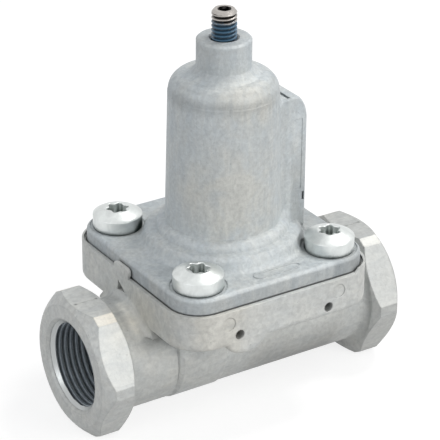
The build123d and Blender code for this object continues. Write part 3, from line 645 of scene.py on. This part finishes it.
class VALVE_OT_castings(bpy.types.Operator):
    """Finish the housing and the bonnet castings, and add the parting seams and the foot of the lug"""
    bl_idname = "valve.castings"
    bl_label = "Castings"

    def execute(self, context):
        tones = context.scene.valve_colours
        width = context.scene.valve_sizes.seam_width
        housing = cast_material("cast_housing", tones.body_cool, tones.body_warm,
                                {"Blotch Size": 14.0, "Mottle Size": 1.2, "Grain Size": 0.25,
                                 "Flow Along": (0.3, 1.0, 0.8)},
                                # the spot at the collar ridge gives the painted highlight there its warm tint
                                (((-18.0, -27.0, 31.0), 16.0), ((-30.5, -9.5, 28.6), 9.0)),
                                housing_details)
        bonnet = cast_material("cast_bonnet", tones.bonnet_cool, tones.bonnet_warm,
                               {"Blotch Size": 9.0, "Mottle Size": 0.9, "Grain Size": 0.22,
                                "Flow Along": (1.0, 1.0, 0.25)},
                               # the spot at the front of the shoulder gives the painted highlight there its
                               # warm tint
                               (((-5.0, -12.0, 55.0), 15.0), ((-1.0, -12.0, 78.5), 9.0)),
                               bonnet_details)
        dress_node("valve_body", housing)
        dress_node("bonnet", bonnet)
        edit = bmesh.new()
        for side in (-1, 1):
            size = Matrix.Diagonal((0.0052, width, 0.00016, 1.0))
            place = Matrix.Translation((side * (FACE_X - 0.0046), 0.0, HEX_TOP_Z))
            bmesh.ops.create_cube(edit, size=1.0, matrix=place @ size)
        mesh = bpy.data.meshes.new("parting_seams")
        bmesh.ops.bevel(edit, geom=edit.edges[:], offset=0.00006, segments=2, affect="EDGES")
        edit.to_mesh(mesh)
        edit.free()
        seams = finish_mesh(new_piece("parting_seams", mesh), housing)
        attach(seams, "housing")
        foot = finish_mesh(new_piece("lug_foot", self.lug_foot()), bonnet)
        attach(foot, "housing")
        return {"FINISHED"}

    def lug_foot(self):
        """Foot that carries the lug down to the flange, flared where it meets it, in millimetres."""
        edit = bmesh.new()
        loops = []
        for z, flare in ((39.0, 0.9), (39.15, 0.62), (39.4, 0.34), (39.8, 0.10), (40.2, 0.0), (40.7, 0.0)):
            loop = []
            for x, y, first in ((18.0, -7.0, -90), (18.0, 7.0, 0)):
                for step in range(7):
                    turn = math.radians(first + 15 * step)
                    loop.append((x + (0.6 + flare) * math.cos(turn), y + (0.6 + flare) * math.sin(turn)))
            loop += [(15.6, 7.6 + flare), (17.1, 3.8), (17.3, 0.0), (17.1, -3.8), (15.6, -7.6 - flare)]
            loops.append([edit.verts.new((x * MM, y * MM, z * MM)) for x, y in loop])
        for low, high in zip(loops, loops[1:]):
            for i, corner in enumerate(low):
                j = (i + 1) % len(low)
                edit.faces.new((corner, low[j], high[j], high[i]))
        edit.faces.new(list(reversed(loops[0])))
        edit.faces.new(loops[-1])
        mesh = bpy.data.meshes.new("lug_foot")
        edit.to_mesh(mesh)
        edit.free()
        return mesh


class VALVE_OT_port_threads(bpy.types.Operator):
    """Cut the internal threads of both ports"""
    bl_idname = "valve.port_threads"
    bl_label = "Port threads"

    def execute(self, context):
        sizes = context.scene.valve_sizes
        material = thread_material(context.scene.valve_colours.body_cool)
        tree, given, out = group_tree(
            "Port thread", "GeometryNodeTree",
            [("Side", "NodeSocketFloat", 1.0), ("Root Radius", "NodeSocketFloat", 0.011),
             ("Crest Radius", "NodeSocketFloat", 0.0102), ("Pitch", "NodeSocketFloat", 0.0015),
             ("Length", "NodeSocketFloat", 0.014), ("Rows", "NodeSocketInt", 16),
             ("Material", "NodeSocketMaterial", None)],
            [("Mesh", "NodeSocketGeometry")])
        wires = Wires(tree)
        thread = wires.tree.nodes.new("GeometryNodeGroup")
        thread.node_tree = thread_group()
        for name in ("Root Radius", "Crest Radius", "Pitch", "Length", "Rows"):
            tree.links.new(given[name], thread.inputs[name])
        tree.links.new(wires.math("ADD", given["Root Radius"], 0.0002), thread.inputs["Closing Radius"])
        for name, value in (("Segments", 120), ("Crest Flat", 0.36), ("Root Flat", 0.10), ("Run Out", 0.0009),
                            ("Lead In", 0.0009)):
            thread.inputs[name].default_value = value
        turn = wires.add("ShaderNodeCombineXYZ", {1: wires.math("MULTIPLY", given["Side"], math.pi / 2)})
        inner = wires.math("SUBTRACT", FACE_X - 0.0008, given["Length"])
        inner = wires.math("MULTIPLY", given["Side"], inner)
        shift = wires.add("ShaderNodeCombineXYZ", {0: inner, 2: PORT_Z})
        placed = wires.add("GeometryNodeTransform", {
            "Geometry": thread.outputs[0], "Rotation": turn.outputs[0], "Translation": shift.outputs[0]})
        real = wires.add("GeometryNodeRealizeInstances", {0: placed.outputs[0]})
        painted = wires.add("GeometryNodeSetMaterial", {0: real.outputs[0], "Material": given["Material"]})
        tree.links.new(painted.outputs[0], out[0])
        for name, side in (("inlet_thread", -1.0), ("outlet_thread", 1.0)):
            piece = new_piece(name)
            node_modifier(piece, tree, {
                "Side": side, "Root Radius": sizes.port_major, "Crest Radius": sizes.port_minor,
                "Pitch": sizes.port_pitch, "Length": sizes.port_length, "Rows": sizes.thread_rows,
                "Material": material})
            finish_mesh(to_plain_mesh(piece), material)
            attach(piece, "housing")
        return {"FINISHED"}


class VALVE_OT_cover_screws(bpy.types.Operator):
    """Make the four pan-head cover screws with six-lobe recesses"""
    bl_idname = "valve.cover_screws"
    bl_label = "Cover screws"

    def execute(self, context):
        sizes = context.scene.valve_sizes
        # the last colour is the dark greenish dirt and painted shade in the recesses
        material = plated_material("zinc_plate", tuple(context.scene.valve_colours.zinc), 0.32,
                                   (0.036, 0.062, 0.050))
        radius = HEAD_RADIUS / MM
        top = HEAD_HEIGHT / MM
        mean = sizes.recess_radius / MM
        lobe = sizes.recess_lobe / MM
        floor = top - sizes.recess_depth / MM
        rings = [(-11.8, 1.9, 0), (-11.1, 2.4, 0), (-0.35, 2.4, 0), (-0.02, 2.75, 0), (0.0, radius - 0.40, 0),
                 (0.10, radius - 0.16, 0), (0.26, radius - 0.02, 0), (3.30, radius - 0.01, 0),
                 (3.42, radius - 0.12, 0), (3.84, radius - 0.80, 0), (4.12, radius - 1.40, 0),
                 (4.38, radius - 2.00, 0), (4.56, radius - 2.62, 0), (4.68, radius - 2.90, 0),
                 (top - 0.10, radius - 3.06, 0.02), (top - 0.12, mean + 0.20, 0.9 * lobe),
                 (top - 0.26, mean + 0.04, lobe), (floor + 0.1, mean - 0.04, lobe),
                 (floor, mean - 0.16, 0.8 * lobe), (floor - 0.5, 0.9, 0.0), (floor - 0.75, 0.05, 0.0)]
        mesh = ring_loft(rings, 96)
        tree, given, out = group_tree(
            "Screw set", "GeometryNodeTree",
            [("Geometry", "NodeSocketGeometry", None), ("Square", "NodeSocketFloat", SCREW_PITCH),
             ("Seat Height", "NodeSocketFloat", SEAT_Z), ("Seed", "NodeSocketInt", 3),
             ("Material", "NodeSocketMaterial", None)],
            [("Mesh", "NodeSocketGeometry")])
        wires = Wires(tree)
        thread = wires.tree.nodes.new("GeometryNodeGroup")
        thread.node_tree = thread_group()
        for name, value in (("Root Radius", 0.00239), ("Crest Radius", 0.00294), ("Pitch", 0.001),
                            ("Length", 0.0105), ("Closing Radius", 0.0022), ("Rows", 8), ("Segments", 32),
                            ("Crest Flat", 0.125), ("Run Out", 0.001)):
            thread.inputs[name].default_value = value
        lowered = wires.add("GeometryNodeTransform", {
            "Geometry": thread.outputs[0], "Translation": (0.0, 0.0, -0.0115)})
        joined = wires.tree.nodes.new("GeometryNodeJoinGeometry")
        tree.links.new(given["Geometry"], joined.inputs[0])
        tree.links.new(lowered.outputs[0], joined.inputs[0])
        corner = wires.math("DIVIDE", given["Square"], math.sqrt(2.0))
        circle = wires.add("GeometryNodeMeshCircle", {"Vertices": 4, "Radius": corner})
        turned = wires.add("GeometryNodeTransform", {
            "Geometry": circle.outputs[0], "Rotation": (0.0, 0.0, math.pi / 4),
            "Translation": wires.add("ShaderNodeCombineXYZ", {2: given["Seat Height"]}).outputs[0]})
        spin = wires.add("FunctionNodeRandomValue", {"Min": (0.0, 0.0, 0.0), "Max": (0.0, 0.0, math.pi / 3),
                                                     "Seed": given["Seed"]}, data_type="FLOAT_VECTOR")
        copies = wires.add("GeometryNodeInstanceOnPoints", {
            "Points": turned.outputs[0], "Instance": joined.outputs[0], "Rotation": spin.outputs[0]})
        real = wires.add("GeometryNodeRealizeInstances", {0: copies.outputs[0]})
        painted = wires.add("GeometryNodeSetMaterial", {0: real.outputs[0], "Material": given["Material"]})
        tree.links.new(painted.outputs[0], out[0])
        piece = new_piece("cover_screw_set", mesh)
        node_modifier(piece, tree, {"Square": SCREW_PITCH, "Seat Height": SEAT_Z, "Seed": 3,
                                    "Material": material})
        finish_mesh(to_plain_mesh(piece), material)
        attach(piece, "housing")
        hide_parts("cover_screws")
        return {"FINISHED"}


class VALVE_OT_adjusting_screw(bpy.types.Operator):
    """Make the threaded adjusting screw with its hexagon socket"""
    bl_idname = "valve.adjusting_screw"
    bl_label = "Adjusting screw"

    def execute(self, context):
        sizes = context.scene.valve_sizes
        tones = context.scene.valve_colours
        low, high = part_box("adjusting_screw")
        material = patched_steel(tuple(tones.steel), tuple(tones.patch))
        tree, given, out = group_tree(
            "Socket screw", "GeometryNodeTree",
            [("Root Radius", "NodeSocketFloat", 0.0024), ("Crest Radius", "NodeSocketFloat", 0.00295),
             ("Pitch", "NodeSocketFloat", 0.001), ("Length", "NodeSocketFloat", 0.03),
             ("Foot", "NodeSocketFloat", 0.067), ("Socket Flats", "NodeSocketFloat", 0.003),
             ("Socket Depth", "NodeSocketFloat", 0.0035), ("Material", "NodeSocketMaterial", None)],
            [("Mesh", "NodeSocketGeometry")])
        wires = Wires(tree)
        thread = wires.tree.nodes.new("GeometryNodeGroup")
        thread.node_tree = thread_group()
        for name in ("Root Radius", "Crest Radius", "Pitch", "Length"):
            tree.links.new(given[name], thread.inputs[name])
        for name, value in (("Closing Radius", 0.0), ("Rows", 12), ("Segments", 72), ("Root Flat", 0.12),
                            ("Crest Flat", 0.20), ("Run Out", 0.0008), ("Lead In", 0.0007)):
            thread.inputs[name].default_value = value
        corner = wires.math("DIVIDE", given["Socket Flats"], math.sqrt(3.0))
        depth = wires.math("MULTIPLY", given["Socket Depth"], 2.0)
        cutter = wires.add("GeometryNodeMeshCylinder", {"Vertices": 6, "Radius": corner, "Depth": depth})
        lifted = wires.add("GeometryNodeTransform", {
            "Geometry": cutter.outputs[0],
            "Translation": wires.add("ShaderNodeCombineXYZ", {2: given["Length"]}).outputs[0]})
        cut = wires.add("GeometryNodeMeshBoolean", {"Mesh 1": thread.outputs[0]}, operation="DIFFERENCE")
        tree.links.new(lifted.outputs[0], cut.inputs["Mesh 2"])
        placed = wires.add("GeometryNodeTransform", {
            "Geometry": cut.outputs[0],
            "Translation": wires.add("ShaderNodeCombineXYZ", {2: given["Foot"]}).outputs[0]})
        real = wires.add("GeometryNodeRealizeInstances", {0: placed.outputs[0]})
        painted = wires.add("GeometryNodeSetMaterial", {0: real.outputs[0], "Material": given["Material"]})
        tree.links.new(painted.outputs[0], out[0])
        piece = new_piece("adjusting_screw_thread")
        node_modifier(piece, tree, {
            "Root Radius": sizes.set_minor, "Crest Radius": sizes.set_major, "Pitch": sizes.set_pitch,
            "Length": high.z - low.z - 1e-6, "Foot": low.z, "Socket Flats": sizes.socket_flats,
            "Socket Depth": sizes.socket_depth, "Material": material})
        finish_mesh(to_plain_mesh(piece), material)
        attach(piece, "screw")
        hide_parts("adjusting_screw")
        return {"FINISHED"}


class VALVE_OT_inner_parts(bpy.types.Operator):
    """Finish the diaphragm, the piston and the check valve"""
    bl_idname = "valve.inner_parts"
    bl_label = "Inner parts"

    def execute(self, context):
        rubber = soft_material("black_rubber", (0.018, 0.018, 0.019), 0.55)
        plastic = soft_material("guide_plastic", (0.62, 0.60, 0.53), 0.42)
        # the last colour of each is the dirt and painted shade in its hollows
        spring = plated_material("spring_wire", (0.30, 0.30, 0.31), 0.28, (0.05, 0.05, 0.055))
        turned = plated_material("turned_aluminium", (0.62, 0.63, 0.64), 0.30, (0.20, 0.20, 0.20))
        brass = plated_material("turned_brass", (0.62, 0.44, 0.17), 0.25, (0.18, 0.12, 0.05))
        for node, material in (("diaphragm", rubber), ("check_seal", rubber), ("check_guide", plastic),
                               ("retaining_ring", spring), ("pressure_piston", turned),
                               ("spring_plate", turned), ("check_disc", brass)):
            dress_node(node, material)
        return {"FINISHED"}


class VALVE_OT_springs(bpy.types.Operator):
    """Make the springs as coil pieces of their own, the set spring cut in two at its middle"""
    bl_idname = "valve.springs"
    bl_label = "Springs"

    def execute(self, context):
        # the last colour is the dirt and painted shade in its hollows
        wire = plated_material("coil_wire", (0.30, 0.30, 0.31), 0.28, (0.05, 0.05, 0.055))
        low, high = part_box("set_spring")
        middle = (low.z + high.z) / 2
        lower = self.coil("set_spring_lower", "set_spring", wire, middle, clear_outer=True)
        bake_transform(lower)
        upper = self.coil("set_spring_upper", "set_spring", wire, middle, clear_inner=True)
        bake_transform(upper)
        low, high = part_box("check_spring")
        light = self.coil("check_spring_coil", "check_spring", wire)
        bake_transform(light)
        return {"FINISHED"}

    def coil(self, name, node, material, height=None, **cleared):
        """A coil with a packed spring's shape, cut at a height where one is given, as its own piece."""
        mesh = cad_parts[node].data.copy()
        mesh.name = name
        if height is not None:
            edit = bmesh.new()
            edit.from_mesh(mesh)
            bmesh.ops.remove_doubles(edit, verts=edit.verts, dist=2e-7)
            parts = edit.verts[:] + edit.edges[:] + edit.faces[:]
            bmesh.ops.bisect_plane(edit, geom=parts, dist=1e-8, plane_co=(0.0, 0.0, height),
                                   plane_no=(0.0, 0.0, 1.0), **cleared)
            bmesh.ops.holes_fill(edit, edges=edit.edges, sides=0)
            edit.to_mesh(mesh)
            edit.free()
        piece = finish_mesh(new_piece(name, mesh), material)
        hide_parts(node)
        return piece


class VALVE_OT_stage(bpy.types.Operator):
    """Set up the floor, the soft light, the white surround and the camera"""
    bl_idname = "valve.stage"
    bl_label = "Stage"

    def execute(self, context):
        self.floor(tuple(context.scene.valve_colours.floor))
        self.world(context.scene)
        self.lamps()
        self.camera(context.scene)
        context.scene.view_settings.view_transform = "Standard"
        return {"FINISHED"}

    def floor(self, tone):
        """Pale floor that shows white to the camera and keeps the valve's shadow."""
        mesh = bpy.data.meshes.new("floor")
        half = 3.0
        mesh.from_pydata([(-half, -half, 0), (half, -half, 0), (half, half, 0), (-half, half, 0)], [],
                         [(0, 1, 2, 3)])
        floor = new_piece("floor", mesh)
        material = bpy.data.materials.new("floor")
        material.use_nodes = True
        wires = Wires(material.node_tree)
        material.node_tree.nodes.clear()
        lit = wires.add("ShaderNodeBsdfDiffuse", {"Color": (*tone, 1.0)})
        lift = wires.add("ShaderNodeEmission", {"Color": (1, 1, 1, 1), "Strength": 0.78})
        both = wires.add("ShaderNodeAddShader", {0: lit.outputs[0], 1: lift.outputs[0]})
        mixed = wires.add("ShaderNodeMixShader", {0: self.seen(wires), 1: lit.outputs[0], 2: both.outputs[0]})
        wires.add("ShaderNodeOutputMaterial", {0: mixed.outputs[0]})
        mesh.materials.append(material)

    def seen(self, wires):
        """Mask of the rays that show the surround: the camera's, and those by gloss and glass."""
        rays = wires.add("ShaderNodeLightPath").outputs
        gloss = wires.math("ADD", rays["Is Glossy Ray"], rays["Is Transmission Ray"])
        return wires.math("ADD", rays["Is Camera Ray"], gloss, clamp=True)

    def world(self, scene):
        """White surround for the camera and for gloss, a plain level for the light."""
        world = bpy.data.worlds.new("surround")
        scene.world = world
        world.use_nodes = True
        wires = Wires(world.node_tree)
        world.node_tree.nodes.clear()
        level = wires.add("ShaderNodeBackground", {"Color": (0.97, 0.98, 1.0, 1.0), "Strength": 0.45})
        white = wires.add("ShaderNodeBackground", {"Color": (1, 1, 1, 1), "Strength": 1.0})
        mixed = wires.add("ShaderNodeMixShader", {0: self.seen(wires), 1: level.outputs[0],
                                                  2: white.outputs[0]})
        wires.add("ShaderNodeOutputWorld", {0: mixed.outputs[0]})

    def lamps(self):
        """Large soft lamps: one in front above, one over the right side, one at the left."""
        middle = Vector((0.0, 0.0, 0.045))
        for name, direction, size, power, tint in (
                ("front_softbox", (0.33, -0.84, 0.36), 0.55, 5.6, (1.0, 0.99, 0.97)),
                ("top_softbox", (0.50, 0.02, 0.86), 0.32, 4.9, (1.0, 0.98, 0.95)),
                ("left_softbox", (-0.85, -0.25, 0.40), 0.40, 1.9, (0.96, 0.98, 1.0))):
            lamp = bpy.data.lights.new(name, "AREA")
            lamp.shape = "SQUARE"
            lamp.size = size
            lamp.energy = power
            lamp.color = tint
            holder = bpy.data.objects.new(name, lamp)
            holder.location = middle + Vector(direction).normalized() * 1.2
            holder.rotation_mode = "QUATERNION"
            holder.rotation_quaternion = Vector(direction).to_track_quat("Z", "Y")
            bpy.context.scene.collection.objects.link(holder)

    def camera(self, scene):
        """Camera at the photograph's angle, distance and framing."""
        azimuth, elevation, roll = math.radians(-32.903), math.radians(26.637), math.radians(0.493)
        back = Vector((math.sin(azimuth) * math.cos(elevation), -math.cos(azimuth) * math.cos(elevation),
                       math.sin(elevation)))
        right = Vector((math.cos(azimuth), math.sin(azimuth), 0.0))
        up = back.cross(right)
        target = Vector((0.0, 0.0, PORT_Z)) - 0.000591 * right + 0.024326 * up
        side = math.cos(roll) * right + math.sin(roll) * up
        over = math.cos(roll) * up - math.sin(roll) * right
        turn = Matrix((side, over, back)).transposed()
        data = bpy.data.cameras.new("camera")
        data.sensor_width = 36.0
        data.lens = 36.0 * 2235.4 / 440.0
        data.clip_start = 0.01
        data.clip_end = 20.0
        camera = bpy.data.objects.new("camera", data)
        camera.matrix_world = Matrix.Translation(target + back * 0.54431) @ turn.to_4x4()
        scene.collection.objects.link(camera)
        scene.camera = camera


OPERATORS = (VALVE_OT_castings, VALVE_OT_port_threads, VALVE_OT_cover_screws, VALVE_OT_adjusting_screw,
             VALVE_OT_inner_parts, VALVE_OT_springs, VALVE_OT_stage)


class VALVE_PT_panel(bpy.types.Panel):
    """Lists the steps that dress the valve"""
    bl_idname = "VALVE_PT_panel"
    bl_label = "Overflow valve"
    bl_space_type = "VIEW_3D"
    bl_region_type = "UI"
    bl_category = "Valve"

    def draw(self, context):
        for operator in OPERATORS:
            self.layout.operator(operator.bl_idname)
        for group in (context.scene.valve_sizes, context.scene.valve_colours):
            box = self.layout.box()
            for name in group.__annotations__:
                box.prop(group, name)


CLASSES = (ValveSizes, ValveColours, *OPERATORS, VALVE_PT_panel)


def register():
    """Registers the classes and their settings on the scene."""
    for cls in CLASSES:
        bpy.utils.register_class(cls)
    bpy.types.Scene.valve_sizes = PointerProperty(type=ValveSizes)
    bpy.types.Scene.valve_colours = PointerProperty(type=ValveColours)


def unregister():
    """Takes the classes and their settings away again."""
    del bpy.types.Scene.valve_colours
    del bpy.types.Scene.valve_sizes
    for cls in reversed(CLASSES):
        bpy.utils.unregister_class(cls)


def main():
    """Builds the dressed valve."""
    register()
    bpy.ops.valve.castings()
    bpy.ops.valve.port_threads()
    bpy.ops.valve.cover_screws()
    bpy.ops.valve.adjusting_screw()
    bpy.ops.valve.inner_parts()
    bpy.ops.valve.springs()
    bpy.ops.valve.stage()


if __name__ == "__main__":
    main()
